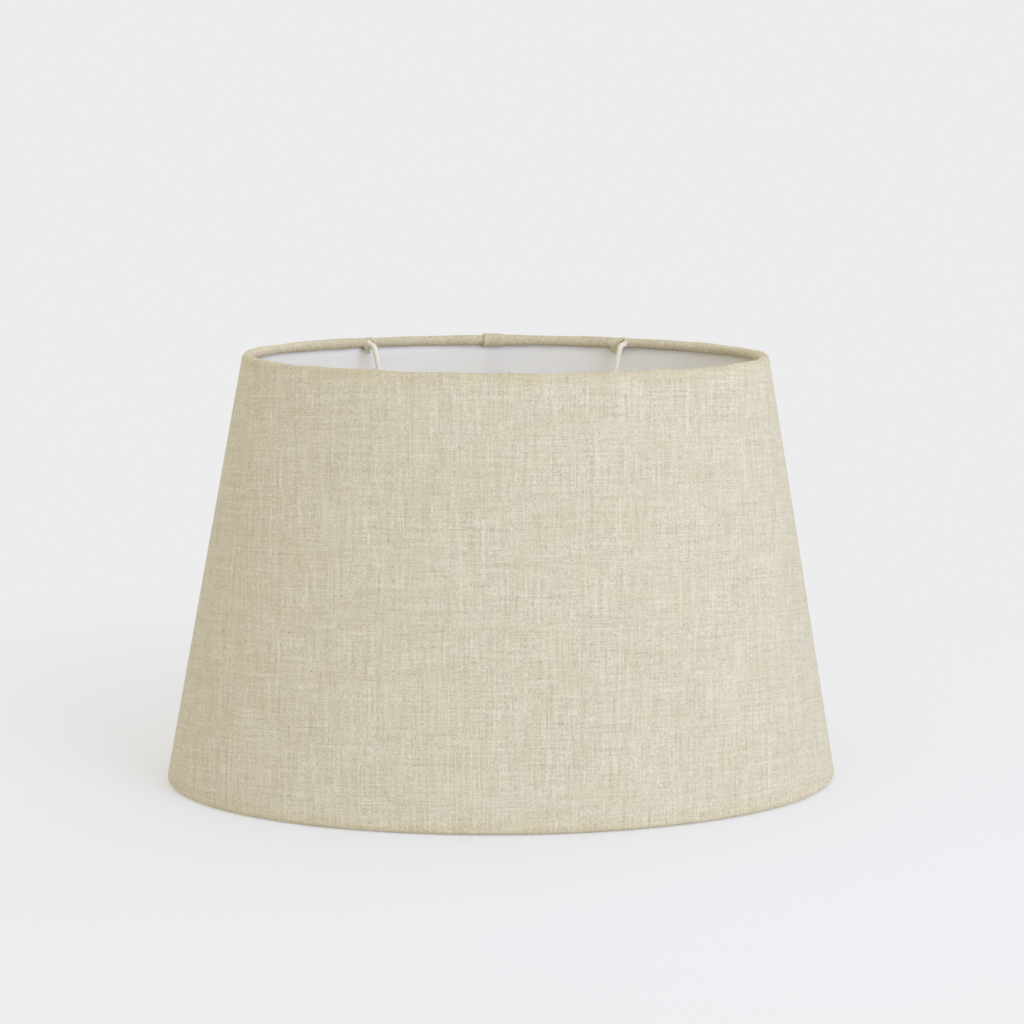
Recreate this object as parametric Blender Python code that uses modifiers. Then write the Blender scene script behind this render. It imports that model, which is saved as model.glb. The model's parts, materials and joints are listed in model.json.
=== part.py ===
"""An oval hardback lamp shade: a linen cover rolled over two wire rings, a stiff lining behind it,
and a four-arm wire fitter with a pressed ring for the lampholder. Metres, +Z up, standing on z = 0."""

from math import atan2, cos, pi, radians, sin, tau

import bmesh
import bpy
from mathutils import Vector

# The oval cone. Both rims have the same proportion of depth to length, so the wall is a true cone.
BOTTOM_LENGTH = 0.400
TOP_LENGTH = 0.308
HEIGHT = 0.255
DEPTH_PER_LENGTH = 0.6

# The rolled hems and the wires inside them
HEM_RADIUS = 0.0033
CLOTH_THICKNESS = 0.0006
RING_WIRE_RADIUS = 0.00225
HEM_WRAP = radians(305)

# The stiff lining and its lapped back seam. An oval angle of 90 degrees is the back.
GAP = 0.0002
LINING_THICKNESS = 0.0003
TAPE_THICKNESS = 0.0002
LINING_EDGE_GAP = 0.0003
LAP_OUTER_END = radians(92.75)
LAP_INNER_END = radians(87.2)
LAP_RAMP = radians(8)
TAPE_INSET = radians(0.8)

# The fitter: arms near 45 degrees in plan, which is 58 degrees on the oval. Each hooks down off the ring.
ARM_ANGLE = radians(57.9)
ARM_RADIUS = 0.00165
ARM_WELD_GAP = 0.0003
ARM_START_INSIDE_RING = 0.0037
ARM_START_ABOVE_RING = 0.0009
ARM_HOOK_RADIUS = 0.0035
ARM_LEAN = radians(15)
ARM_BEND_RADIUS = 0.012
ARM_BEND_STEPS = 8
NOTCH_CLEARANCE = 0.00035
NOTCH_INSIDE_RING = (0.0019, 0.009)
NOTCH_BELOW_RING = 0.006
FITTER_DROP = 0.035
FITTER_HOLE_RADIUS = 0.021
FITTER_OUTER_RADIUS = 0.030
FITTER_SHEET = 0.0012
FITTER_LIP = 0.006
FITTER_CORNER = 0.0016
ARM_BELOW_FITTER_TOP = 0.0036

# Smoothness
OVAL_STEPS = 80
HEM_STEPS = 12
FITTER_STEPS = 64
WIRE_BEVEL = 2

BOTTOM_SEMI = BOTTOM_LENGTH / 2 - HEM_RADIUS
TOP_SEMI = TOP_LENGTH / 2 - HEM_RADIUS
BOTTOM_Z = HEM_RADIUS
TOP_Z = HEIGHT - HEM_RADIUS
FITTER_Z = TOP_Z - FITTER_DROP
UP = Vector((0, 0, 1))


def on_oval(semi_length, z, angle):
    """A point on a ring's centreline."""
    return Vector((semi_length * cos(angle), DEPTH_PER_LENGTH * semi_length * sin(angle), z))


def outward(angle):
    """The oval's horizontal normal, the same at every height."""
    return Vector((DEPTH_PER_LENGTH * cos(angle), sin(angle), 0)).normalized()


def wall_slope(angle):
    """How far the wall's normal tips up: most at the two ends, least at the front and back."""
    spread = on_oval(BOTTOM_SEMI, 0, angle) - on_oval(TOP_SEMI, 0, angle)
    return atan2(spread.dot(outward(angle)), TOP_Z - BOTTOM_Z)


def off_ring(semi_length, z, angle, radius, turn):
    """A point on the circle of this radius round a ring's wire."""
    side = outward(angle) * cos(turn) + UP * sin(turn)
    return on_oval(semi_length, z, angle) + side * radius


def off_wall(angle, offset, from_bottom, from_top):
    """The two ends of the wall's straight line at this angle, pushed out along the wall's normal."""
    low = off_ring(BOTTOM_SEMI, BOTTOM_Z, angle, offset, wall_slope(angle))
    high = off_ring(TOP_SEMI, TOP_Z, angle, offset, wall_slope(angle))
    along = (high - low).normalized()
    return low + along * from_bottom, high - along * from_top


def cover_section(angle):
    """The cover's cross-section: a wall with a hook round the wire at each end."""
    slope = wall_slope(angle)
    wrap = [HEM_WRAP * step / HEM_STEPS for step in range(HEM_STEPS + 1)]
    points = []
    for radius, order in ((HEM_RADIUS, 1), (HEM_RADIUS - CLOTH_THICKNESS, -1)):
        low = [off_ring(BOTTOM_SEMI, BOTTOM_Z, angle, radius, slope - turn) for turn in reversed(wrap)]
        high = [off_ring(TOP_SEMI, TOP_Z, angle, radius, slope + turn) for turn in wrap]
        points += (low + high)[::order]
    return points


def sheet_section(angle, outer_offset, thickness, edge_inset):
    """The cross-section of a flat sheet that lies inside the cover."""
    low, high = off_wall(angle, outer_offset, edge_inset, edge_inset)
    low_in, high_in = off_wall(angle, outer_offset - thickness, edge_inset, edge_inset)
    return [low, high, high_in, low_in]


def loft(name, sections, closed):
    """A solid through cross-sections that all differ, because the wall's slope changes round the oval."""
    mesh = bmesh.new()
    rows = [[mesh.verts.new(point) for point in section] for section in sections]
    pairs = list(zip(rows, rows[1:] + rows[:1])) if closed else list(zip(rows, rows[1:]))
    for row, following in pairs:
        for i in range(len(row)):
            j = (i + 1) % len(row)
            mesh.faces.new((row[i], row[j], following[j], following[i]))
    if not closed:
        mesh.faces.new(rows[0])
        mesh.faces.new(reversed(rows[-1]))
    bmesh.ops.recalc_face_normals(mesh, faces=mesh.faces)
    return add_mesh(name, mesh)


def add_mesh(name, mesh):
    data = bpy.data.meshes.new(name)
    mesh.to_mesh(data)
    mesh.free()
    return bpy.data.objects.new(name, data)


def wire(name, points, radius, cyclic):
    """A round wire through these points."""
    curve = bpy.data.curves.new(name, "CURVE")
    curve.dimensions = "3D"
    curve.bevel_depth = radius
    curve.bevel_resolution = WIRE_BEVEL
    curve.use_fill_caps = not cyclic
    spline = curve.splines.new("POLY")
    spline.points.add(len(points) - 1)
    for target, point in zip(spline.points, points):
        target.co = (*point, 1)
    spline.use_cyclic_u = cyclic
    return bpy.data.objects.new(name, curve)


def make_cover():
    angles = [tau * step / OVAL_STEPS for step in range(OVAL_STEPS)]
    return loft("linen_cover", [cover_section(angle) for angle in angles], closed=True)


def make_lining():
    """One sheet, wound once round from the outer end of the lap to the inner end."""
    start, end = LAP_OUTER_END, LAP_INNER_END - tau
    outer_offset = HEM_RADIUS - CLOTH_THICKNESS - GAP
    step_in = LINING_THICKNESS + TAPE_THICKNESS + 2 * GAP
    steps = OVAL_STEPS + 16
    sections = []
    for step in range(steps + 1):
        angle = start + (end - start) * step / steps
        past_ramp = (start - tau + LAP_RAMP - angle) / LAP_RAMP
        offset = outer_offset - step_in * min(max(past_ramp, 0), 1)
        sections.append(sheet_section(angle, offset, LINING_THICKNESS, HEM_RADIUS + LINING_EDGE_GAP))
    return loft("lining_panel", sections, closed=False)


def make_seam_tape():
    outer_offset = HEM_RADIUS - CLOTH_THICKNESS - GAP - LINING_THICKNESS - GAP
    first, last = LAP_INNER_END + TAPE_INSET, LAP_OUTER_END - TAPE_INSET
    steps = 4
    sections = [
        sheet_section(first + (last - first) * step / steps, outer_offset, TAPE_THICKNESS, 2 * HEM_RADIUS)
        for step in range(steps + 1)
    ]
    return loft("seam_tape", sections, closed=False)


def make_ring(name, semi_length, z):
    points = [on_oval(semi_length, 0, tau * step / OVAL_STEPS) for step in range(OVAL_STEPS)]
    ring = wire(name, points, RING_WIRE_RADIUS, cyclic=True)
    ring.location.z = z
    return ring


def arm_plane(side_x, side_y):
    """Where an arm's plane crosses the top ring, and the way to the centre."""
    on_ring = on_oval(TOP_SEMI, TOP_Z, ARM_ANGLE)
    on_ring = Vector((side_x * on_ring.x, side_y * on_ring.y, on_ring.z))
    return on_ring, -Vector((on_ring.x, on_ring.y, 0)).normalized()


def bend(route, radius, heading, new_heading):
    """Adds an arc to a route of (inwards, up) points. It turns from one heading to another."""
    x, z = route[-1]
    side = 1 if new_heading > heading else -1
    for step in range(1, ARM_BEND_STEPS + 1):
        now = heading + (new_heading - heading) * step / ARM_BEND_STEPS
        route.append((
            x + side * radius * (sin(now) - sin(heading)),
            z - side * radius * (cos(now) - cos(heading)),
        ))


def make_arm(name, side_x, side_y):
    """Off the ring, hooked down, leaning in, then bent to run level to the fitter ring's lip."""
    on_ring, inwards = arm_plane(side_x, side_y)
    down = ARM_LEAN - pi / 2
    level_z = FITTER_Z - ARM_BELOW_FITTER_TOP - TOP_Z
    route = [(ARM_START_INSIDE_RING, ARM_START_ABOVE_RING)]
    bend(route, ARM_HOOK_RADIUS, 0, down)
    x, z = route[-1]
    straight = (z - level_z - ARM_BEND_RADIUS * (1 - cos(down))) / -sin(down)
    route.append((x + straight * cos(down), z + straight * sin(down)))
    bend(route, ARM_BEND_RADIUS, down, 0)
    reach = Vector((on_ring.x, on_ring.y)).length - FITTER_OUTER_RADIUS - ARM_WELD_GAP
    route.append((reach, level_z))
    arm = wire(name, [inwards * along + UP * up for along, up in route], ARM_RADIUS, cyclic=False)
    arm.location = on_ring
    return arm


def cut_notch(cover, cutters, name, side_x, side_y):
    """Clears the inside of the hem round the top of an arm."""
    on_ring, inwards = arm_plane(side_x, side_y)
    first, last = NOTCH_INSIDE_RING
    top = ARM_START_ABOVE_RING + ARM_RADIUS + NOTCH_CLEARANCE
    middle = inwards * (first + last) / 2 + UP * (top - NOTCH_BELOW_RING) / 2
    mesh = bmesh.new()
    bmesh.ops.create_cube(mesh, size=1)
    size = Vector((last - first, 2 * (ARM_RADIUS + NOTCH_CLEARANCE), top + NOTCH_BELOW_RING))
    bmesh.ops.scale(mesh, vec=size, verts=mesh.verts)
    cutter = add_mesh(name, mesh)
    cutters.objects.link(cutter)
    cutter.location = on_ring + middle
    cutter.rotation_euler.z = atan2(inwards.y, inwards.x)
    cutter.hide_render = True
    cutter.display_type = "WIRE"
    notch = cover.modifiers.new(name, "BOOLEAN")
    notch.object = cutter
    notch.operation = "DIFFERENCE"
    notch.solver = "EXACT"


def make_fitter_ring():
    """A pressed ring: a flat flange round the hole and a lip turned down at the outside."""
    inner, outer, sheet = FITTER_HOLE_RADIUS, FITTER_OUTER_RADIUS, FITTER_SHEET
    corner, lip = FITTER_CORNER, FITTER_LIP
    profile = [
        (inner, 0), (outer - corner, 0), (outer - corner * 0.3, -corner * 0.3), (outer, -corner),
        (outer, -lip), (outer - sheet, -lip), (outer - sheet, -corner), (outer - corner, -sheet),
        (inner, -sheet),
    ]
    mesh = bmesh.new()
    points = [mesh.verts.new((radius, 0, z)) for radius, z in profile]
    for a, b in zip(points, points[1:] + points[:1]):
        mesh.edges.new((a, b))
    ring = add_mesh("fitter_ring", mesh)
    ring.location.z = FITTER_Z
    turn = ring.modifiers.new("turn", "SCREW")
    turn.steps = turn.render_steps = FITTER_STEPS
    turn.use_merge_vertices = True
    turn.merge_threshold = 0.00001
    turn.use_normal_calculate = True
    return ring


def material(name, colour, roughness, metallic=0.0):
    made = bpy.data.materials.new(name)
    made.use_nodes = True
    shader = made.node_tree.nodes["Principled BSDF"]
    shader.inputs["Base Color"].default_value = (*colour, 1)
    shader.inputs["Roughness"].default_value = roughness
    shader.inputs["Metallic"].default_value = metallic
    return made


def main():
    for old in list(bpy.data.objects):
        bpy.data.objects.remove(old, do_unlink=True)
    shade = bpy.data.collections.new("lamp_shade")
    cutters = bpy.data.collections.new("cutters")
    cutters.hide_render = True
    for collection in (shade, cutters):
        bpy.context.scene.collection.children.link(collection)

    linen = material("linen", (0.68, 0.61, 0.47), 0.9)
    white_sheet = material("white_sheet", (0.80, 0.78, 0.75), 0.45)
    tape = material("tape", (0.75, 0.72, 0.62), 0.5)
    wire_steel = material("wire_steel", (0.55, 0.54, 0.52), 0.4, metallic=1.0)
    cream_paint = material("cream_paint", (0.82, 0.79, 0.70), 0.35)

    cover = make_cover()
    pieces = [
        (cover, linen),
        (make_lining(), white_sheet),
        (make_seam_tape(), tape),
        (make_ring("top_ring", TOP_SEMI, TOP_Z), wire_steel),
        (make_ring("bottom_ring", BOTTOM_SEMI, BOTTOM_Z), wire_steel),
        (make_fitter_ring(), cream_paint),
    ]
    for side_y, end in ((1, "back"), (-1, "front")):
        for side_x, hand in ((-1, "left"), (1, "right")):
            pieces.append((make_arm(f"fitter_arm_{end}_{hand}", side_x, side_y), cream_paint))
            cut_notch(cover, cutters, f"notch_{end}_{hand}", side_x, side_y)

    origin = bpy.data.objects.new("shade_origin", None)
    shade.objects.link(origin)
    for piece, finish in pieces:
        piece.data.materials.append(finish)
        piece.parent = origin
        shade.objects.link(piece)


main()
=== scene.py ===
"""The looks of the oval lamp shade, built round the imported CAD. Metres, +Z up, seam at the back (+Y)."""

import json
from math import atan2, cos, pi, radians, sin, tau

import bmesh
import bpy
import numpy as np
from mathutils import Matrix, Vector

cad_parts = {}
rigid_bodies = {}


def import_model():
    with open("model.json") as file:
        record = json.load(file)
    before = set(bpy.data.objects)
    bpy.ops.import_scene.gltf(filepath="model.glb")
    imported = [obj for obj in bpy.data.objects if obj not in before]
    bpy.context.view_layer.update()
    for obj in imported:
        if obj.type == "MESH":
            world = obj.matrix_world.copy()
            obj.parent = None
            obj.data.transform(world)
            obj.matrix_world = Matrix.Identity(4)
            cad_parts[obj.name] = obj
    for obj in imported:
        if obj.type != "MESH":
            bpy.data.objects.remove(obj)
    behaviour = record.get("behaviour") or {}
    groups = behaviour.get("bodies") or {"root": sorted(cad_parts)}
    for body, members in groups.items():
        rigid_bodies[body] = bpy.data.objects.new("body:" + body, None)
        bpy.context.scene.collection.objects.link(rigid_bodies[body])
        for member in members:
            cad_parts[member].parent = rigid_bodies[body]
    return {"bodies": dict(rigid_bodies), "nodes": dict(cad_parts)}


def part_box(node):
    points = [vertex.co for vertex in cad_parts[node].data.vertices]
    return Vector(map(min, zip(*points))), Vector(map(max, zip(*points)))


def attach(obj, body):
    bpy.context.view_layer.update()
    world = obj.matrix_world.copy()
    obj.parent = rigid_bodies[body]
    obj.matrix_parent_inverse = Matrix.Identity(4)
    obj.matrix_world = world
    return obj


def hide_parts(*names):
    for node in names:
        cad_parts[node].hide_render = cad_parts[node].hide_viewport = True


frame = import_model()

MM = 0.001
BODY = next(iter(frame["bodies"]))
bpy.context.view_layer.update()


# ---------------------------------------------------------------- sizes read from the frame

def ring_facts(node):
    """The half length, half depth and height of a wire ring's middle line, from its box."""
    low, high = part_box(node)
    wire = (high.z - low.z) / 2
    return high.x - wire, high.y - wire, (low.z + high.z) / 2


TOP_X, TOP_Y, TOP_Z = ring_facts("top_ring")
BOTTOM_X, BOTTOM_Y, BOTTOM_Z = ring_facts("bottom_ring")
# The roll's radius at each ring.
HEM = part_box("linen_cover")[1].z - TOP_Z
FITTER_LOW, FITTER_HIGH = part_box("fitter_ring")
FITTER_OUTER = FITTER_HIGH.x
FITTER_HOLE = 21 * MM
FITTER_SHEET = 1.2 * MM
FITTER_ROUND = 2.0 * MM                  # the shoulder's outer radius

# Angles on the oval run anticlockwise seen from above: 0 right, 90 back, -90 front.
LAP_EDGE = radians(92.75)
LAP_END = radians(87.2) - tau
FRONT = -pi / 2
ARM_ANGLES = {"back_right": radians(57.9), "back_left": radians(122.1),
              "front_left": radians(-122.1), "front_right": radians(-57.9)}
ARM_RADIUS = 1.65 * MM
ARM_START = (2.0 * MM, -1.0 * MM)        # inwards and up from the ring's middle line
ARM_STUB = 1.6 * MM
ARM_HOOK = 3.6 * MM
ARM_LEAN = radians(15)
ARM_BEND = 12 * MM
ARM_BELOW_FITTER_TOP = 3.6 * MM
# How the weld swells towards the fitter's lip: arm radii back from it, and the swelling.
WELD = ((1.6, 1.0), (1.1, 1.12), (0.7, 1.35), (0.35, 1.6), (0.1, 1.75))
WELD_BEAD = (1.1 * MM, 2.1 * MM, 1.7 * MM)
WELD_BEAD_SPOT = (2.4 * MM, 0.3 * MM)

CLOTH = 0.5 * MM
SHEET = 0.3 * MM
SHEET_OFFSET = HEM - 0.8 * MM
SHEET_LAP_STEP = 0.9 * MM
SHEET_LAP_RAMP = 12 * MM
SHEET_INSET = 2.2 * MM                   # from each ring's middle line
SHEET_LAP_INSET = 1.1 * MM
SHEET_ROWS = 34
SHEET_COLUMN_STEP = 3.2 * MM
SHEET_END_COLUMNS = (0, 0.3, 0.7, 1.2, 2, 3)          # mm from the end that shows
SHEET_END_DIP, SHEET_END_REACH = 0.25 * MM, 2.5 * MM


# ---------------------------------------------------------------- the oval cone

def centre(angle, share):
    """Points on the wall's middle line: share 0 is the bottom ring, and 1 the top ring."""
    half_x = BOTTOM_X + (TOP_X - BOTTOM_X) * share
    half_y = BOTTOM_Y + (TOP_Y - BOTTOM_Y) * share
    z = BOTTOM_Z + (TOP_Z - BOTTOM_Z) * share
    return np.stack(np.broadcast_arrays(half_x * np.cos(angle), half_y * np.sin(angle), z), axis=-1)


def side(angle):
    """The oval's horizontal outward normal."""
    out = np.stack([TOP_Y * np.cos(angle), TOP_X * np.sin(angle), 0 * angle], axis=-1)
    return out / np.linalg.norm(out, axis=-1, keepdims=True)


def slope(angle):
    """How far the wall's normal tips up."""
    spread = ((centre(angle, 0.0) - centre(angle, 1.0)) * side(angle)).sum(-1)
    return np.arctan2(spread, TOP_Z - BOTTOM_Z)


def turned(angle, tip):
    """A unit vector in the plane across the ring: tip 0 points out, and 90 degrees up."""
    return side(angle) * np.cos(tip)[..., None] + np.array((0, 0, 1.0)) * np.sin(tip)[..., None]


FINE = np.linspace(LAP_END - 0.3, LAP_EDGE + 0.3, 6001)


def running(values):
    """A running total along FINE that is zero at the front."""
    total = np.concatenate([[0], np.cumsum(values)])
    return total - np.interp(FRONT, FINE, total)


def fine_steps(share):
    """The steps between the points of FINE at one height."""
    return np.diff(centre(FINE, share), axis=0)


ARC_TOP = running(np.linalg.norm(fine_steps(1.0), axis=1))
APEX = np.array((0, 0, TOP_Z + (TOP_Z - BOTTOM_Z) * TOP_X / (BOTTOM_X - TOP_X)))
_SPOKES = centre(FINE, 0.5) - APEX
_SPOKES /= np.linalg.norm(_SPOKES, axis=1, keepdims=True)
FAN = running(np.linalg.norm(np.diff(_SPOKES, axis=0), axis=1))


def arc(angle):
    """Distance along the top ring from the front, in metres."""
    return np.interp(angle, FINE, ARC_TOP)


def angle_at(distance):
    """The angle at a distance along the top ring from the front."""
    return np.interp(distance, ARC_TOP, FINE)


def flat_place(angle, from_apex):
    """Where a point of the wall lies on the flat cut cloth, with upright threads at the front."""
    fan = np.interp(angle, FINE, FAN)
    return from_apex * np.sin(fan), -from_apex * np.cos(fan)


def smooth(x, low, high):
    """Eases from 0 at low to 1 at high."""
    t = np.clip((x - low) / (high - low), 0, 1)
    return t * t * (3 - 2 * t)


def waver(angle, share):
    """The slight waves of a hand-covered shade."""
    return MM * (
        0.16 * np.sin(5 * angle + 0.4 + 1.1 * share)
        + 0.12 * np.sin(9 * angle + 2.1 - 1.7 * share)
        + 0.07 * np.sin(16 * angle + 4.0 + 2.6 * share)
        + 0.04 * np.sin(29 * angle + 1.0 - 3.1 * share)
    )


# ---------------------------------------------------------------- meshes from grids

def grid_mesh(name, places, flat, tints, splits=None):
    """A sheet through a grid of points. splits maps a slit column to (rows, places)."""
    columns, rows = places.shape[:2]
    points = places.reshape(-1, 3)
    index = np.arange(columns * rows).reshape(columns, rows)
    ending = index.copy()
    flats, tones = flat.reshape(-1, 2), tints.reshape(-1)
    for column, (cut, moved) in (splits or {}).items():
        ending[column, :cut] = len(points) + np.arange(cut)
        points = np.concatenate([points, moved[:cut]])
        flats = np.concatenate([flats, flat[column, :cut]])
        tones = np.concatenate([tones, tints[column, :cut]])
    faces = np.stack([index[:-1, :-1], ending[1:, :-1], ending[1:, 1:], index[:-1, 1:]], axis=-1)
    mesh = bpy.data.meshes.new(name)
    mesh.from_pydata(points.tolist(), [], faces.reshape(-1, 4).tolist())
    mesh.attributes.new("flat_place", "FLOAT_VECTOR", "POINT").data.foreach_set(
        "vector", np.column_stack([flats, 0 * tones]).astype(np.float32).ravel())
    mesh.attributes.new("tint", "FLOAT", "POINT").data.foreach_set("value", tones.astype(np.float32))
    return add_piece(name, mesh)


def add_piece(name, mesh):
    """Puts a smooth-shaded mesh into the scene."""
    piece = bpy.data.objects.new(name, mesh)
    bpy.context.scene.collection.objects.link(piece)
    mesh.shade_smooth()
    return piece


def thicken(piece, thickness):
    """Gives a sheet its thickness, inwards from the side that its normals face."""
    solid = piece.modifiers.new("thickness", "SOLIDIFY")
    solid.thickness = thickness
    solid.offset = -1
    solid.use_even_offset = False
    with bpy.context.temp_override(object=piece, active_object=piece):
        bpy.ops.object.modifier_apply(modifier=solid.name)
    return piece


# ---------------------------------------------------------------- the linen

TOP_ROWS, WALL_ROWS, BOTTOM_ROWS = 26, 42, 20
COLUMN_STEP, LAP_COLUMN_STEP = 2.15 * MM, 1.0 * MM
FLOOR_GAP = 0.05 * MM
UNLINED_FROM, UNLINED_TO = 4.4 * MM, 2.8 * MM         # from each roll's edge
# The roll: how far the cloth wraps round the ring, and how much tighter it is wound on the inside.
HEM_WRAP = radians(312)
SHORTER_AT_LAP = radians(58)
TUCKED_IN = 0.155
# The fold and lap at the back.
FOLD_RADIUS = 0.6 * MM
FLAP = 9 * MM
UNDER_FLAP, LAYER_GAP = 0.1 * MM, 0.06 * MM
LAP_RAMP = 5 * MM
LAP_FADE_FROM, LAP_FADE_TO = 16 * MM, 34 * MM
# The slit over each arm. Angles run round the roll from the wall, over the top and down the inside.
SLIT_HALF_WIDTH = 1.9 * MM
SLIT_REACH, SLIT_TAPER = 11 * MM, 7 * MM
SLIT_COLUMNS = 41
SLIT_APEX, SLIT_FULL = radians(130), radians(174)
SLIT_CLOSING, SLIT_CLOSED = radians(200), radians(232)
SLIT_INSIDE_RING = 4.0 * MM
# The cloth rises over the arm, and one lip of the slit curls up while the other sinks.
OVER_ARM_RISE, OVER_ARM_SPREAD = 0.9 * MM, 2.6 * MM
CURL_SPREAD, RAISED_LIP, SUNK_LIP = 1.1 * MM, 0.5, -0.2
# The cut corner beside each arm hangs down instead of following the roll.
HANG_FROM = radians(176)
HANG_FLAT = 0.6                          # the share of its width that hangs in full
HANG_DROP = 0.8
HANG_WIDTH = {"back_right": 10.5 * MM, "back_left": 4.2 * MM,
              "front_left": 4 * MM, "front_right": 5 * MM}


def arm_plane(angle):
    """Where an arm's plane crosses the top ring, and the way to the centre."""
    on_ring = Vector(centre(np.array(angle), 1.0))
    return on_ring, -Vector((on_ring.x, on_ring.y, 0)).normalized()


def slit_middle(angle):
    """Where along the top ring an arm comes through the roll, as it isn't square to the ring."""
    _, inwards = arm_plane(angle)
    ahead = Vector((-TOP_X * sin(angle), TOP_Y * cos(angle), 0)).normalized()
    return arc(angle) + SLIT_INSIDE_RING * inwards.dot(ahead)


def main_turn(angle):
    """The same angle within the cloth's one turn, from the folded edge down to the inner end."""
    return angle if angle < LAP_EDGE else angle - tau


SLITS = {name: slit_middle(main_turn(angle)) for name, angle in ARM_ANGLES.items()}


def lap_lift(from_edge):
    """How far the outer layer stands off, over the flap, then over the inner layer, then not at all."""
    over_flap = 2 * FOLD_RADIUS + UNDER_FLAP
    over_inner = CLOTH + LAYER_GAP
    lift = over_flap + (over_inner - over_flap) * smooth(from_edge, FLAP, FLAP + LAP_RAMP)
    return lift * (1 - smooth(from_edge, LAP_FADE_FROM, LAP_FADE_TO))


def cloth_columns():
    """(angle, beyond the folded edge, lift) of each column, from the flap's end to the inner end.

    Also how many columns come before the folded edge."""
    edge = arc(LAP_EDGE)
    steps = 7
    under = [(angle_at(edge - FLAP * (1 - step / steps)), 0.0, UNDER_FLAP) for step in range(steps + 1)]
    fold = []
    for step in range(1, steps):
        turn = pi * step / steps - pi / 2
        fold.append((LAP_EDGE, FOLD_RADIUS * cos(turn), UNDER_FLAP + FOLD_RADIUS * (1 + sin(turn))))
    places = list(np.arange(edge, arc(LAP_END), -COLUMN_STEP)) + [arc(LAP_END)]
    places += list(edge - np.arange(0, 36, 1.0) * LAP_COLUMN_STEP)
    for middle in SLITS.values():
        places = [p for p in places if abs(p - middle) > SLIT_REACH]
        places += list(middle + np.linspace(-1, 1, SLIT_COLUMNS) * SLIT_REACH)
    places = sorted(set(np.round(places, 6)), reverse=True)
    main = [(angle_at(p), 0.0, lap_lift(edge - p)) for p in places]
    return np.array(under + fold + main), len(under) + len(fold)


def wrapped(lift):
    """How far the cloth wraps round a ring: less where it lies over the lap."""
    return HEM_WRAP - SHORTER_AT_LAP * smooth(lift, 0, 0.4 * MM)


def top_roll(angle, lift, away, hang):
    """The top hem. away is each column's distance from its slit, and hang its cut corner's drop."""
    wrap = np.linspace(1, 0, TOP_ROWS)[None, :] * wrapped(lift)
    opened = smooth(wrap, SLIT_APEX, SLIT_FULL) * (1 - smooth(wrap, SLIT_CLOSING, SLIT_CLOSED))
    beside = np.clip(1 - np.abs(away) / SLIT_TAPER, 0, 1)
    moved = angle_at(arc(angle) + np.sign(away) * SLIT_HALF_WIDTH * beside * opened)
    handmade = 0.05 * np.sin(11 * moved + 1.0) + 0.035 * np.sin(23 * moved + 0.3)
    radius = HEM * (1 + handmade * smooth(wrap, 0, radians(60))) + lift
    radius -= HEM * TUCKED_IN * smooth(wrap, 0, radians(95))
    radius += waver(moved, 1.0) * (1 - smooth(wrap, 0, radians(120)))
    over_arm = OVER_ARM_RISE * np.exp(-(away / OVER_ARM_SPREAD) ** 2)
    over_arm = over_arm * smooth(wrap, radians(55), radians(110))
    radius += over_arm * (1 - smooth(wrap, radians(150), HANG_FROM))
    curl = np.exp(-np.abs(away) / CURL_SPREAD) * np.where(away < 0, RAISED_LIP, SUNK_LIP) * MM
    curl = curl * smooth(wrap, SLIT_APEX - radians(10), SLIT_FULL)
    radius += curl * (1 - smooth(wrap, SLIT_FULL, HEM_WRAP))
    tucked = centre(moved, 1.0) + turned(moved, slope(moved) + wrap) * radius[..., None]
    held = np.minimum(wrap, HANG_FROM)
    hung = centre(moved, 1.0) + turned(moved, slope(moved) + held) * radius[..., None]
    hung[..., 2] -= HEM * HANG_DROP * (wrap - held)
    return tucked + (hung - tucked) * hang[..., None], HEM * wrap


def wall(angle, lift):
    """The wall between the rolls, and each point's share of the way up."""
    share = np.linspace(1, 0, WALL_ROWS + 1)[None, 1:]
    angle, share = np.broadcast_arrays(angle, share)
    offset = HEM + lift + waver(angle, share)
    return centre(angle, share) + turned(angle, slope(angle)) * offset[..., None], share


def bottom_roll(angle, lift):
    """The bottom hem, from the wall under the ring and up inside."""
    wrap = np.linspace(0, 1, BOTTOM_ROWS + 1)[None, 1:] * wrapped(lift)
    handmade = 0.05 * np.sin(13 * angle + 2.0) + 0.03 * np.sin(27 * angle)
    radius = HEM * (1 + handmade * smooth(wrap, radians(90), radians(180))) + lift
    radius += waver(angle, 0.0) * (1 - smooth(wrap, 0, radians(70)))
    angle = np.broadcast_to(angle, wrap.shape)
    return centre(angle, 0.0) + turned(angle, slope(angle) - wrap) * radius[..., None], HEM * wrap


def cloth_surface(angle, beyond, lift, away, hang):
    """Points on the cloth, and how far each lies from the cone's tip along the cut cloth."""
    angle, beyond, lift = angle[:, None], beyond[:, None], lift[:, None]
    top, top_along = top_roll(angle, lift, away[:, None], hang[:, None])
    face, share = wall(angle, lift)
    low, low_along = bottom_roll(angle, lift)
    places = np.concatenate([top, face, low], axis=1)
    ahead = np.stack([-TOP_X * np.sin(angle), TOP_Y * np.cos(angle), 0 * angle], axis=-1)
    ahead /= np.linalg.norm(ahead, axis=-1, keepdims=True)
    places += ahead * beyond[..., None]
    places[..., 2] = np.maximum(places[..., 2], FLOOR_GAP)
    high_end = np.linalg.norm(centre(angle, 1.0) - APEX, axis=-1)
    low_end = np.linalg.norm(centre(angle, 0.0) - APEX, axis=-1)
    face_along = high_end + (low_end - high_end) * (1 - share)
    return places, np.concatenate([high_end - top_along, face_along, low_end + low_along], axis=1)


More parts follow.
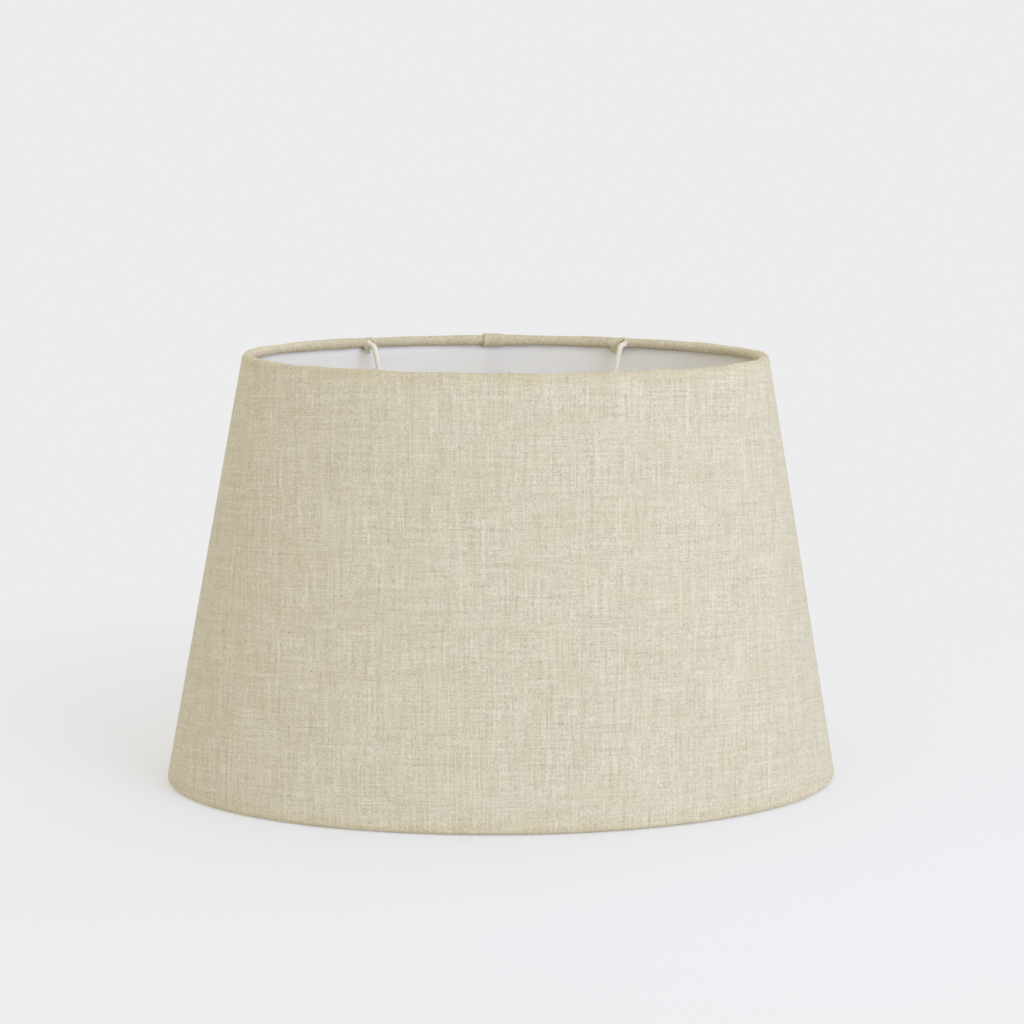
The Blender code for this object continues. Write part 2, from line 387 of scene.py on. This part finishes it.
def make_cloth():
    """The linen, with the size and area of the cloth it is cut from."""
    columns, first_main = cloth_columns()
    angle, beyond, lift = columns.T
    reach = arc(angle)
    on_main = np.arange(len(angle)) >= first_main
    away = np.full(len(angle), SLIT_REACH)
    hang = np.zeros(len(angle))
    slit_columns = []
    for name, middle in SLITS.items():
        near = (np.abs(reach - middle) < SLIT_REACH) & on_main
        away = np.where(near, reach - middle, away)
        corner = 1 - smooth(away, HANG_FLAT * HANG_WIDTH[name], HANG_WIDTH[name])
        hang = np.where(near & (away >= 0), corner, hang)
        slit_columns.append(int(np.argmin(np.where(near, np.abs(away), 1))))
    away[slit_columns] = 0.001 * MM
    places, from_apex = cloth_surface(angle, beyond, lift, away, hang)
    # The flap faces the other way, so its thickness needs room above the floor.
    places[~on_main, :, 2] = np.maximum(places[~on_main, :, 2], CLOTH + UNDER_FLAP)
    lips, _ = cloth_surface(angle, beyond, lift, -away, hang * 0)
    wrap_share = np.linspace(1, 0, TOP_ROWS)
    cut = int((wrap_share * HEM_WRAP > SLIT_APEX).sum()) + 1
    # A slit column's own points join the columns of smaller angle. Its extra points join the others.
    splits = {column: (cut, places[column].copy()) for column in slit_columns}
    for column in slit_columns:
        places[column, :cut] = lips[column, :cut]
    edge = arc(LAP_EDGE)
    along = np.where(on_main, reach, 2 * edge - reach + beyond)
    flat = np.stack(flat_place(angle_at(along)[:, None], from_apex), axis=-1)
    from_ring = np.minimum(from_apex - from_apex[:, [TOP_ROWS - 1]],
                           from_apex[:, [TOP_ROWS + WALL_ROWS - 1]] - from_apex)
    unlined = 1 - smooth(from_ring, UNLINED_TO, UNLINED_FROM)
    piece = grid_mesh("linen_cloth", places, flat, unlined, splits)
    thicken(piece, CLOTH)
    fan = np.interp(LAP_EDGE, FINE, FAN) - np.interp(LAP_END, FINE, FAN)
    near, far = from_apex.min(), from_apex.max()
    cut_size = (2 * far * sin(fan / 2), far - near * cos(fan / 2))
    return piece, cut_size, fan * (far * far - near * near) / 2


# ---------------------------------------------------------------- the stiff lining

def make_lining():
    """One white sheet wound round inside the linen. Its inner end shows at the back."""
    reach = list(np.arange(arc(LAP_EDGE), arc(LAP_END), -SHEET_COLUMN_STEP))
    reach += [arc(LAP_END) + x * MM for x in SHEET_END_COLUMNS]
    reach = sorted(set(np.round(reach, 6)), reverse=True)
    angle = angle_at(np.array(reach))
    from_end = np.array(reach) - arc(LAP_END)
    lap_width = arc(LAP_EDGE) - arc(LAP_END + tau)
    inside = 1 - smooth(from_end, lap_width, lap_width + SHEET_LAP_RAMP)
    shares = np.linspace(1, 0, SHEET_ROWS)[None, :]
    offset = SHEET_OFFSET - SHEET_LAP_STEP * inside
    offset = offset - SHEET_END_DIP * (1 - smooth(from_end, 0, SHEET_END_REACH))
    wide = np.broadcast_to(angle[:, None], (len(angle), shares.shape[1]))
    offset = offset[:, None] + waver(wide, shares) * (1 - inside[:, None])
    length = np.linalg.norm(centre(angle, 1.0) - centre(angle, 0.0), axis=1)
    inset = (SHEET_INSET + SHEET_LAP_INSET * inside) / length
    up = inset[:, None] + shares * (1 - 2 * inset[:, None])
    places = centre(wide, up) + turned(wide, slope(wide)) * offset[..., None]
    from_apex = np.linalg.norm(centre(wide, up) - APEX, axis=-1)
    flat = np.stack(flat_place(wide, from_apex), axis=-1)
    # Painted shade over the lap.
    lap_shade = 1 - smooth(from_end, lap_width - 1 * MM, lap_width + 0.5 * MM)
    # A painted highlight along the cut end, carried below zero in the tint.
    end_highlight = 1 - smooth(from_end, 0.5 * MM, 1.0 * MM)
    tint = np.broadcast_to((lap_shade - 2 * end_highlight)[:, None], wide.shape)
    return thicken(grid_mesh("lining_sheet", places, flat, tint), SHEET)


# ---------------------------------------------------------------- the wire fitter

def piece_from(mesh, name):
    """Turns a bmesh into a piece."""
    data = bpy.data.meshes.new(name)
    mesh.to_mesh(data)
    mesh.free()
    return add_piece(name, data)


def tube(name, points, radii, sides=18):
    """A round wire with a radius at each point and closed ends."""
    mesh = bmesh.new()
    rings = []
    points = [Vector(p) for p in points]
    across = None
    for i, (point, radius) in enumerate(zip(points, radii)):
        ahead = (points[min(i + 1, len(points) - 1)] - points[max(i - 1, 0)]).normalized()
        if across is None:
            across = ahead.orthogonal().normalized()
        across = (across - ahead * across.dot(ahead)).normalized()
        other = ahead.cross(across)
        turns = [tau * k / sides for k in range(sides)]
        rings.append([mesh.verts.new(point + (across * cos(t) + other * sin(t)) * radius) for t in turns])
    for a, b in zip(rings, rings[1:]):
        for k in range(sides):
            mesh.faces.new((a[k], a[(k + 1) % sides], b[(k + 1) % sides], b[k]))
    mesh.faces.new(reversed(rings[0]))
    mesh.faces.new(rings[-1])
    bmesh.ops.recalc_face_normals(mesh, faces=mesh.faces)
    return piece_from(mesh, name)


def bend(route, radius, heading, new_heading, steps):
    """Adds an arc to a route of (inwards, up) points. It turns from one heading to another."""
    x, z = route[-1]
    turn = 1 if new_heading > heading else -1
    for now in np.linspace(heading, new_heading, steps + 1)[1:]:
        route.append((x + turn * radius * (sin(now) - sin(heading)),
                      z - turn * radius * (cos(now) - cos(heading))))


def arm_route(on_ring):
    """The arm's middle line as (inwards, up) from the ring: hooked down, leaning in, then level.

    Also how far inwards the fitter's lip is, and how high the level part."""
    down = ARM_LEAN - pi / 2
    level = FITTER_HIGH.z - ARM_BELOW_FITTER_TOP - TOP_Z
    route = [ARM_START, (ARM_START[0] + ARM_STUB, ARM_START[1])]
    bend(route, ARM_HOOK, 0, down, 14)
    x, z = route[-1]
    straight = (z - level - ARM_BEND * (1 - cos(down))) / -sin(down)
    route += [(x + t * cos(down), z + t * sin(down)) for t in np.linspace(0, straight, 8)[1:]]
    bend(route, ARM_BEND, down, 0, 16)
    reach = Vector((on_ring.x, on_ring.y)).length - FITTER_OUTER
    route += [(x, level) for x in np.linspace(route[-1][0], reach - 3 * MM, 10)[1:]]
    return route, reach, level


def make_arm(name, angle):
    """A painted wire arm, with its weld beads at the ring and at the fitter's lip."""
    on_ring, inwards = arm_plane(angle)
    route, reach, level = arm_route(on_ring)
    radii = [ARM_RADIUS] * len(route)
    route += [(reach - back * ARM_RADIUS, level) for back, _ in WELD]
    radii += [ARM_RADIUS * size for _, size in WELD]
    points = [on_ring + inwards * along + Vector((0, 0, up)) for along, up in route]
    arm = tube(f"arm_{name}", points, radii)
    bead = bmesh.new()
    bmesh.ops.create_icosphere(bead, subdivisions=3, radius=1.0)
    for corner in bead.verts:
        x, y, z = corner.co
        lump = 1 + 0.08 * sin(5 * x + 3 * z) * cos(4 * y + 1)
        corner.co = Vector((x * WELD_BEAD[0], y * WELD_BEAD[1], z * WELD_BEAD[2])) * lump
    weld_bead = piece_from(bead, f"weld_{name}")
    spot = on_ring + inwards * WELD_BEAD_SPOT[0] + Vector((0, 0, WELD_BEAD_SPOT[1]))
    turn = Matrix.Rotation(atan2(inwards.y, inwards.x), 4, "Z")
    weld_bead.matrix_world = Matrix.Translation(spot) @ turn
    return arm, weld_bead


def make_fitter():
    """The pressed ring: a flange, a rounded shoulder and a turned-down lip."""
    outer, top, sheet, round_ = FITTER_OUTER, FITTER_HIGH.z, FITTER_SHEET, FITTER_ROUND
    lip = FITTER_HIGH.z - FITTER_LOW.z
    profile = [(FITTER_HOLE + 0.15 * MM, top - 0.05 * MM), (FITTER_HOLE + 0.4 * MM, top)]
    profile += [(outer - round_ + round_ * sin(t), top - round_ + round_ * cos(t))
                for t in np.linspace(0, pi / 2, 9)]
    profile += [(outer, top - lip + 0.3 * MM), (outer - 0.3 * MM, top - lip),
                (outer - sheet + 0.3 * MM, top - lip), (outer - sheet, top - lip + 0.3 * MM)]
    small = round_ - sheet
    profile += [(outer - round_ + small * cos(t), top - round_ + small * sin(t))
                for t in np.linspace(0, pi / 2, 6)]
    profile += [(FITTER_HOLE + 0.4 * MM, top - sheet),
                (FITTER_HOLE + 0.1 * MM, top - sheet + 0.15 * MM),
                (FITTER_HOLE, top - sheet / 2)]
    mesh = bmesh.new()
    steps = 120
    turns = [tau * k / steps for k in range(steps)]
    rings = [[mesh.verts.new((r * cos(t), r * sin(t), z)) for r, z in profile] for t in turns]
    for k in range(steps):
        a, b = rings[k], rings[(k + 1) % steps]
        for i in range(len(profile)):
            j = (i + 1) % len(profile)
            mesh.faces.new((a[i], b[i], b[j], a[j]))
    bmesh.ops.recalc_face_normals(mesh, faces=mesh.faces)
    return piece_from(mesh, "holder_ring")


# ---------------------------------------------------------------- materials

class Paint:
    """A Principled material and short ways to add nodes to it."""

    def __init__(self, name, **sockets):
        self.material = bpy.data.materials.new(name)
        self.material.use_nodes = True
        self.tree = self.material.node_tree
        self.shader = self.tree.nodes["Principled BSDF"]
        for socket, value in sockets.items():
            self.put(self.shader.inputs[socket.replace("_", " ")], value)

    def put(self, socket, value):
        if isinstance(value, bpy.types.NodeSocket):
            self.tree.links.new(value, socket)
        elif isinstance(value, tuple) and len(value) == 3 and len(socket.default_value) == 4:
            socket.default_value = (*value, 1)
        else:
            socket.default_value = value

    def node(self, kind, inputs=(), output=0, **settings):
        made = self.tree.nodes.new("ShaderNode" + kind)
        for setting, value in settings.items():
            setattr(made, setting, value)
        for socket, value in dict(inputs).items():
            self.put(made.inputs[socket], value)
        return made.outputs[output]

    def math(self, operation, *values):
        return self.node("Math", enumerate(values), operation=operation)

    def vector(self, x, y, z=0.0):
        return self.node("CombineXYZ", enumerate((x, y, z)))

    def noise(self, place, scale, detail=2.0, roughness=0.5):
        inputs = {"Vector": place, "Scale": scale, "Detail": detail, "Roughness": roughness}
        return self.node("TexNoise", inputs)

    def ranged(self, value, low, high, to_low=0.0, to_high=1.0):
        return self.node("MapRange", enumerate((value, low, high, to_low, to_high)))

    def mix(self, share, a, b, blend="MIX"):
        made = self.tree.nodes.new("ShaderNodeMix")
        made.data_type, made.blend_type = "RGBA", blend
        for socket, value in ((made.inputs[0], share), (made.inputs[6], a), (made.inputs[7], b)):
            self.put(socket, value)
        return made.outputs[2]

    def shade(self, colour, **sockets):
        self.put(self.shader.inputs["Base Color"], colour)
        for socket, value in sockets.items():
            self.put(self.shader.inputs[socket.replace("_", " ")], value)

    def bump(self, height, distance, strength=1.0):
        bump = self.node("Bump", {"Height": height, "Distance": distance, "Strength": strength})
        self.put(self.shader.inputs["Normal"], bump)


WARP_PITCH = 0.74 * MM
WEFT_PITCH = 0.70 * MM
LINEN_PALE = (0.740, 0.670, 0.505)
LINEN_TAN = (0.450, 0.377, 0.232)
# Dark brown, used for dark dashes along the threads and for painted shade in the gaps between threads.
LINEN_DASH_AND_GAP_SHADE = (0.277, 0.215, 0.125)
LINEN_BLOTCH = (0.60, 0.535, 0.33)
LINEN_PINK = (0.68, 0.53, 0.44)
LINEN_SPECK = (0.20, 0.13, 0.07)
ROLL_TINT = (0.985, 0.965, 0.895)         # where no lining lies behind the cloth
SHEET_WHITE, SHEET_MOTTLE = (0.915, 0.880, 0.80), (0.895, 0.855, 0.775)
# Painted shade over the lap, and a painted highlight along the sheet's cut end.
SHEET_LAP_SHADE, SHEET_END_HIGHLIGHT = (0.825, 0.785, 0.72), (0.95, 0.93, 0.89)
CREAM, CREAM_DEEP = (0.86, 0.79, 0.64), (0.83, 0.75, 0.59)
STEEL_BRIGHT, STEEL_DULL = (0.58, 0.57, 0.55), (0.42, 0.40, 0.37)
TAPE_CLEAR, TAPE_CLOUD = (0.78, 0.75, 0.66), (0.70, 0.66, 0.55)


def linen_paint():
    """Plain-weave natural linen: uneven threads, slubs, dark specks, soft blotches and painted shade in
    the gaps between threads.
    """
    paint = Paint("linen", Roughness=0.92, Specular_IOR_Level=0.25,
                  Sheen_Weight=0.08, Sheen_Roughness=0.6)
    math = paint.math
    cut_place = paint.node("Attribute", output=1, attribute_name="flat_place")
    across = paint.node("SeparateXYZ", {0: cut_place})
    up = across.node.outputs[1]
    place = paint.vector(across, up)

    def centred(value, width):
        return math("MULTIPLY", math("SUBTRACT", value, 0.5), width)

    def thread_place(own, drift_scale, pitch, seed):
        """A coordinate that counts threads, which drift and whose spacing varies."""
        drift = centred(paint.noise(paint.vector(across, up, seed), drift_scale, 3.0), 1.6 * MM)
        counted = math("DIVIDE", math("ADD", own, drift), pitch)
        uneven = centred(paint.noise(paint.vector(math("MULTIPLY", counted, 0.45), seed), 1.0, 0.0), 2.2)
        return math("ADD", counted, uneven)

    def thread_tone(own_id, along, seed):
        """Dark and light along one thread: long slubs, and shorter ones on them."""
        spot = paint.vector(math("MULTIPLY", own_id, 7.31), math("DIVIDE", along, 34 * MM), seed)
        return paint.noise(spot, 1.0, 5.0, 0.62)

    warp, weft = thread_place(across, 45.0, WARP_PITCH, 3.0), thread_place(up, 38.0, WEFT_PITCH, 8.0)
    warp_id, weft_id = math("FLOOR", warp), math("FLOOR", weft)
    warp_tone, weft_tone = thread_tone(warp_id, up, 17.0), thread_tone(weft_id, across, 71.0)

    def rounded(position, own_id):
        return math("COSINE", math("MULTIPLY", centred(math("SUBTRACT", position, own_id), 1.0), pi))

    def over(other, own_id):
        return math("COSINE", math("MULTIPLY", math("ADD", math("SUBTRACT", other, 0.5), own_id), pi))

    def surface(rise, round_, tone):
        lifted = math("ADD", math("MULTIPLY", rise, 0.40), math("MULTIPLY", round_, 0.55))
        return math("SUBTRACT", lifted, centred(tone, 1.1))

    warp_top = surface(over(weft, warp_id), rounded(warp, warp_id), warp_tone)
    weft_top = surface(over(warp, math("ADD", weft_id, 1.0)), rounded(weft, weft_id), weft_tone)
    height = math("MAXIMUM", warp_top, weft_top)
    warp_shows = math("GREATER_THAN", warp_top, weft_top)

    warp_dark, weft_dark = centred(warp_tone, 1.35), centred(weft_tone, 1.05)
    shown = paint.node("Mix", {0: warp_shows, 2: weft_dark, 3: warp_dark}, data_type="FLOAT")
    thread = math("ADD", shown, math("MULTIPLY", math("ADD", warp_dark, weft_dark), 0.5))
    crossing_place = paint.vector(warp_id, weft_id)
    crossing = paint.node("TexWhiteNoise", {"Vector": crossing_place}, noise_dimensions="2D")
    dark = math("ADD", math("ADD", thread, centred(crossing, 0.45)), 0.38)
    colour = paint.mix(dark, LINEN_PALE, LINEN_TAN)
    blotch = paint.noise(paint.vector(across, up, 1.7), 85.0, 3.0)
    colour = paint.mix(paint.ranged(blotch, 0.40, 0.70, 0.0, 0.32), colour, LINEN_BLOTCH)
    pink = paint.noise(paint.vector(across, up, 5.3), 95.0, 3.0)
    colour = paint.mix(paint.ranged(pink, 0.48, 0.72, 0.0, 0.14), colour, LINEN_PINK)
    # Painted shade: the colour darkens towards dark brown where the threads lie low, in the gaps between
    # them.
    gap_shade_patches = paint.noise(paint.vector(across, up, 2.9), 600.0, 2.0)
    gap_shade = paint.ranged(height, -0.2, 0.45, 0.55, 0.0)
    gap_shade = math("MULTIPLY", gap_shade, paint.ranged(gap_shade_patches, 0.42, 0.62, 0.25, 1.0))
    colour = paint.mix(gap_shade, colour, LINEN_DASH_AND_GAP_SHADE)
    speck_place = paint.vector(math("DIVIDE", across, 1.1 * MM), math("DIVIDE", up, 1.7 * MM), 4.0)
    speck = paint.ranged(paint.noise(speck_place, 1.0, 1.0), 0.76, 0.84, 0.0, 0.55)
    dash_place = paint.vector(math("MULTIPLY", warp_id, 3.77), math("DIVIDE", up, 3.5 * MM), 9.0)
    dash = paint.ranged(paint.noise(dash_place, 1.0, 1.0), 0.69, 0.80, 0.0, 0.5)
    colour = paint.mix(dash, colour, LINEN_DASH_AND_GAP_SHADE)
    colour = paint.mix(speck, colour, LINEN_SPECK)
    unlined = paint.node("Attribute", output=2, attribute_name="tint")
    paint.shade(paint.mix(math("MULTIPLY", unlined, 0.9), colour, ROLL_TINT, "MULTIPLY"))
    paint.bump(height, 0.12 * MM, 0.8)
    return paint.material


def lining_paint():
    """Satin white plastic sheet: a faint mottle, painted shade over the lap and a painted highlight along
    the cut end.
    """
    paint = Paint("white_sheet", Roughness=0.42, Specular_IOR_Level=0.4)
    place = paint.node("Attribute", output=1, attribute_name="flat_place")
    tint = paint.node("Attribute", output=2, attribute_name="tint")
    mottle = paint.noise(place, 130.0, 4.0, 0.6)
    colour = paint.mix(paint.ranged(mottle, 0.35, 0.7), SHEET_WHITE, SHEET_MOTTLE)
    # Painted shade over the lap.
    colour = paint.mix(paint.ranged(tint, 0.0, 1.0, 0.0, 0.5), colour, SHEET_LAP_SHADE)
    # A painted highlight along the sheet's cut end.
    colour = paint.mix(paint.ranged(tint, 0.0, -1.0, 0.0, 0.8), colour, SHEET_END_HIGHLIGHT)
    rough = paint.ranged(paint.noise(place, 700.0, 2.0), 0.3, 0.7, 0.36, 0.50)
    paint.shade(colour, Roughness=rough)
    paint.bump(paint.noise(place, 900.0, 3.0), 0.02 * MM, 0.5)
    return paint.material


def painted_paint(name, colour, deep):
    """Cream powder coat with a faint orange peel."""
    paint = Paint(name, Roughness=0.34, Specular_IOR_Level=0.5)
    place = paint.node("TexCoord", output=3)
    tone = paint.noise(place, 160.0, 3.0)
    paint.shade(paint.mix(paint.ranged(tone, 0.35, 0.7), colour, deep),
                Roughness=paint.ranged(paint.noise(place, 900.0), 0.3, 0.7, 0.28, 0.42))
    paint.bump(paint.noise(place, 1400.0, 2.0), 0.03 * MM, 0.6)
    return paint.material


def steel_paint():
    """Drawn steel wire with fine scratches and a dull bloom."""
    paint = Paint("wire_steel", Metallic=1.0)
    place = paint.node("TexCoord", output=3)
    bloom = paint.noise(place, 240.0, 4.0)
    paint.shade(paint.mix(paint.ranged(bloom, 0.4, 0.65), STEEL_BRIGHT, STEEL_DULL),
                Roughness=paint.ranged(bloom, 0.3, 0.7, 0.3, 0.55))
    paint.bump(paint.noise(place, 2500.0, 2.0), 0.01 * MM, 0.5)
    return paint.material


def tape_paint():
    """Milky double-sided tape."""
    paint = Paint("tape", Specular_IOR_Level=0.5)
    place = paint.node("TexCoord", output=3)
    cloud = paint.noise(place, 300.0, 3.0)
    paint.shade(paint.mix(cloud, TAPE_CLEAR, TAPE_CLOUD),
                Roughness=paint.ranged(cloud, 0.3, 0.7, 0.35, 0.6))
    paint.bump(cloud, 0.02 * MM, 0.4)
    return paint.material


# ---------------------------------------------------------------- stage, light and camera

BACKDROP = (0.845, 0.845, 0.847)
FLOOR_COLOUR = (0.90, 0.89, 0.87)
FADE_FROM, FADE_TO = 0.0, 0.60            # metres from the middle
CAMERA_PLACE = (-0.1142, -1.4679, 0.4340)
CAMERA_YAW, CAMERA_PITCH, CAMERA_ROLL = radians(-4.60), radians(-10.53), radians(0.59)
CAMERA_LENS = 89.24
KEY_PLACE, KEY_AIM, KEY_SIZE = (1.35, -1.73, 0.9), (0, 0, 0.12), 1.8
KEY_POWER, KEY_COLOUR = 32, (0.55, 0.67, 1.0)
BEAM_OFFSET, BEAM_HEIGHT, BEAM_CONE, BEAM_POWER = 0.09, 1.9, radians(4.6), 120


def make_stage():
    """A pale floor that fades into the even pale backdrop."""
    bpy.ops.mesh.primitive_plane_add(size=16, location=(0, 0, -0.1 * MM))
    floor = bpy.context.object
    floor.name = "studio_floor"
    paint = Paint("pale_floor", Roughness=0.9, Specular_IOR_Level=0.1)
    place = paint.node("TexCoord", output=3)
    far = paint.node("VectorMath", {0: place}, output=1, operation="LENGTH")
    paint.shade(FLOOR_COLOUR)
    glow = paint.node("Emission", {"Color": BACKDROP, "Strength": 1.0})
    fade = paint.ranged(far, FADE_FROM, FADE_TO)
    shown = paint.node("MixShader", {0: fade, 1: paint.shader.outputs[0], 2: glow})
    paint.tree.links.new(shown, paint.tree.nodes["Material Output"].inputs["Surface"])
    floor.data.materials.append(paint.material)


def make_world():
    """Even pale light from all round."""
    world = bpy.data.worlds.new("studio")
    world.use_nodes = True
    sky = world.node_tree.nodes["Background"]
    sky.inputs["Color"].default_value = (*BACKDROP, 1)
    sky.inputs["Strength"].default_value = 1.0
    bpy.context.scene.world = world


def add_light(name, kind, place, aim, power, colour):
    """A light at a place, turned towards its aim."""
    lamp = bpy.data.lights.new(name, kind)
    lamp.energy, lamp.color = power, colour
    light = bpy.data.objects.new(name, lamp)
    light.location = place
    light.rotation_euler = (Vector(aim) - Vector(place)).to_track_quat("-Z", "Y").to_euler()
    bpy.context.scene.collection.objects.link(light)
    return lamp


def make_lights():
    """A broad soft light from the front right, and two narrow ones that brighten the inside."""
    key = add_light("key", "AREA", KEY_PLACE, KEY_AIM, KEY_POWER, KEY_COLOUR)
    key.shape, key.size = "DISK", KEY_SIZE
    # These shine down through the top, clear of the fitter ring.
    for name, x in (("beam_left", -BEAM_OFFSET), ("beam_right", BEAM_OFFSET)):
        beam = add_light(name, "SPOT", (x, 0, BEAM_HEIGHT), (x, 0, 0), BEAM_POWER, (1.0, 1.0, 1.0))
        beam.spot_size, beam.spot_blend, beam.shadow_soft_size = BEAM_CONE, 1.0, 0.01


def make_camera():
    """A long lens, a little left of the front, above the rim."""
    lens = bpy.data.cameras.new("camera")
    lens.lens, lens.sensor_width = CAMERA_LENS, 36.0
    lens.clip_start, lens.clip_end = 0.05, 50
    camera = bpy.data.objects.new("camera", lens)
    camera.matrix_world = (Matrix.Translation(CAMERA_PLACE) @ Matrix.Rotation(CAMERA_YAW, 4, "Z")
                           @ Matrix.Rotation(pi / 2 + CAMERA_PITCH, 4, "X")
                           @ Matrix.Rotation(CAMERA_ROLL, 4, "Z"))
    bpy.context.scene.collection.objects.link(camera)
    bpy.context.scene.camera = camera


# ---------------------------------------------------------------- the scene

def dress(piece, finish, slot, *nodes):
    """Gives a piece its material and its body, and hides the CAD nodes it stands for. Its slot argument is
    not used.
    """
    piece.data.materials.clear()
    piece.data.materials.append(finish)
    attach(piece, BODY)
    if nodes:
        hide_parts(*nodes)


def main():
    bpy.context.scene.view_settings.view_transform = "Standard"
    make_camera()
    make_world()
    make_stage()
    make_lights()

    linen, sheet_white, steel, tape = linen_paint(), lining_paint(), steel_paint(), tape_paint()
    cream = painted_paint("cream_paint", CREAM, CREAM_DEEP)

    cloth, cut_size, cut_area = make_cloth()
    dress(cloth, linen, "linen", "linen_cover")
    dress(make_lining(), sheet_white, "white_sheet", "lining_panel")
    for name, angle in ARM_ANGLES.items():
        arm, weld = make_arm(name, angle)
        dress(arm, cream, "cream_paint", f"fitter_arm_{name}")
        dress(weld, cream, "cream_paint")
    dress(make_fitter(), cream, "cream_paint", "fitter_ring")
    for node, finish in (("top_ring", steel), ("bottom_ring", steel), ("seam_tape", tape)):
        for slot in frame["nodes"][node].material_slots:
            slot.material = finish

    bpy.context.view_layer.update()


main()
